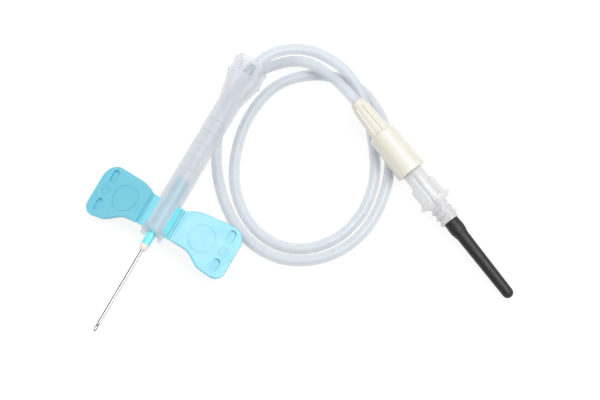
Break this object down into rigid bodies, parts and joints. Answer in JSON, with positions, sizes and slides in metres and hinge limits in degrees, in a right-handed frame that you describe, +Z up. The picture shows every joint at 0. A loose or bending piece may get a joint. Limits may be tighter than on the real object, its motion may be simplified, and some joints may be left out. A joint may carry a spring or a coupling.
{
  "type": "safety blood collection needle",
  "caption": "Winged needle set with a sliding safety shield, coiled clear tubing, luer connector and adapter with a rubber-sleeved rear needle.",
  "frame": {"origin": "on the needle's axis at the hub's front shoulder, where the nose that carries the needle cap begins", "axes": "+X along the needle towards its tip, +Z up; the set lies on a table at Z = -6.25 mm"},
  "size_m": [0.0739, 0.0845, 0.0098],
  "materials": {
    "steel": "bright drawn tube",
    "bond": "cured adhesive",
    "hub_plastic": "moulded, glossy",
    "wing_plastic": "soft moulded vinyl, satin",
    "frosted_plastic": "frosted, translucent",
    "clear_tube": "clear soft vinyl",
    "cream_plastic": "moulded, satin",
    "clear_plastic": "clear moulded",
    "black_rubber": "dipped rubber, satin"
  },
  "bodies": {
    "hub": {"needle_cannula": "steel", "needle_bond": "bond", "needle_hub": "hub_plastic", "tubing": "clear_tube", "female_luer": "cream_plastic"},
    "shield": {"safety_shield": "frosted_plastic"},
    "left_wing": {"left_wing": "wing_plastic"},
    "right_wing": {"right_wing": "wing_plastic"},
    "adapter": {"luer_adapter": "clear_plastic", "rear_cannula": "steel", "rubber_sleeve": "black_rubber"}
  },
  "joints": [
    {"name": "shield_slide", "type": "slide", "parent": "hub", "child": "shield", "axis": [1, 0, 0], "range_m": [0, 0.0248]},
    {"name": "left_wing_fold", "type": "hinge", "parent": "hub", "child": "left_wing", "pos_m": [0, 0.0032, 0], "axis": [1, 0, 0], "range_deg": [0, 98.5], "stiffness_Nm_per_rad": 0.0001},
    {"name": "right_wing_fold", "type": "hinge", "parent": "hub", "child": "right_wing", "pos_m": [0, -0.0032, 0], "axis": [-1, 0, 0], "range_deg": [0, 108.5], "stiffness_Nm_per_rad": 0.0001},
    {"name": "luer_pull_off", "type": "slide", "parent": "hub", "child": "adapter", "axis": [0.3799, 0.9172, -0.1201], "range_m": [0, 0.01]}
  ]
}
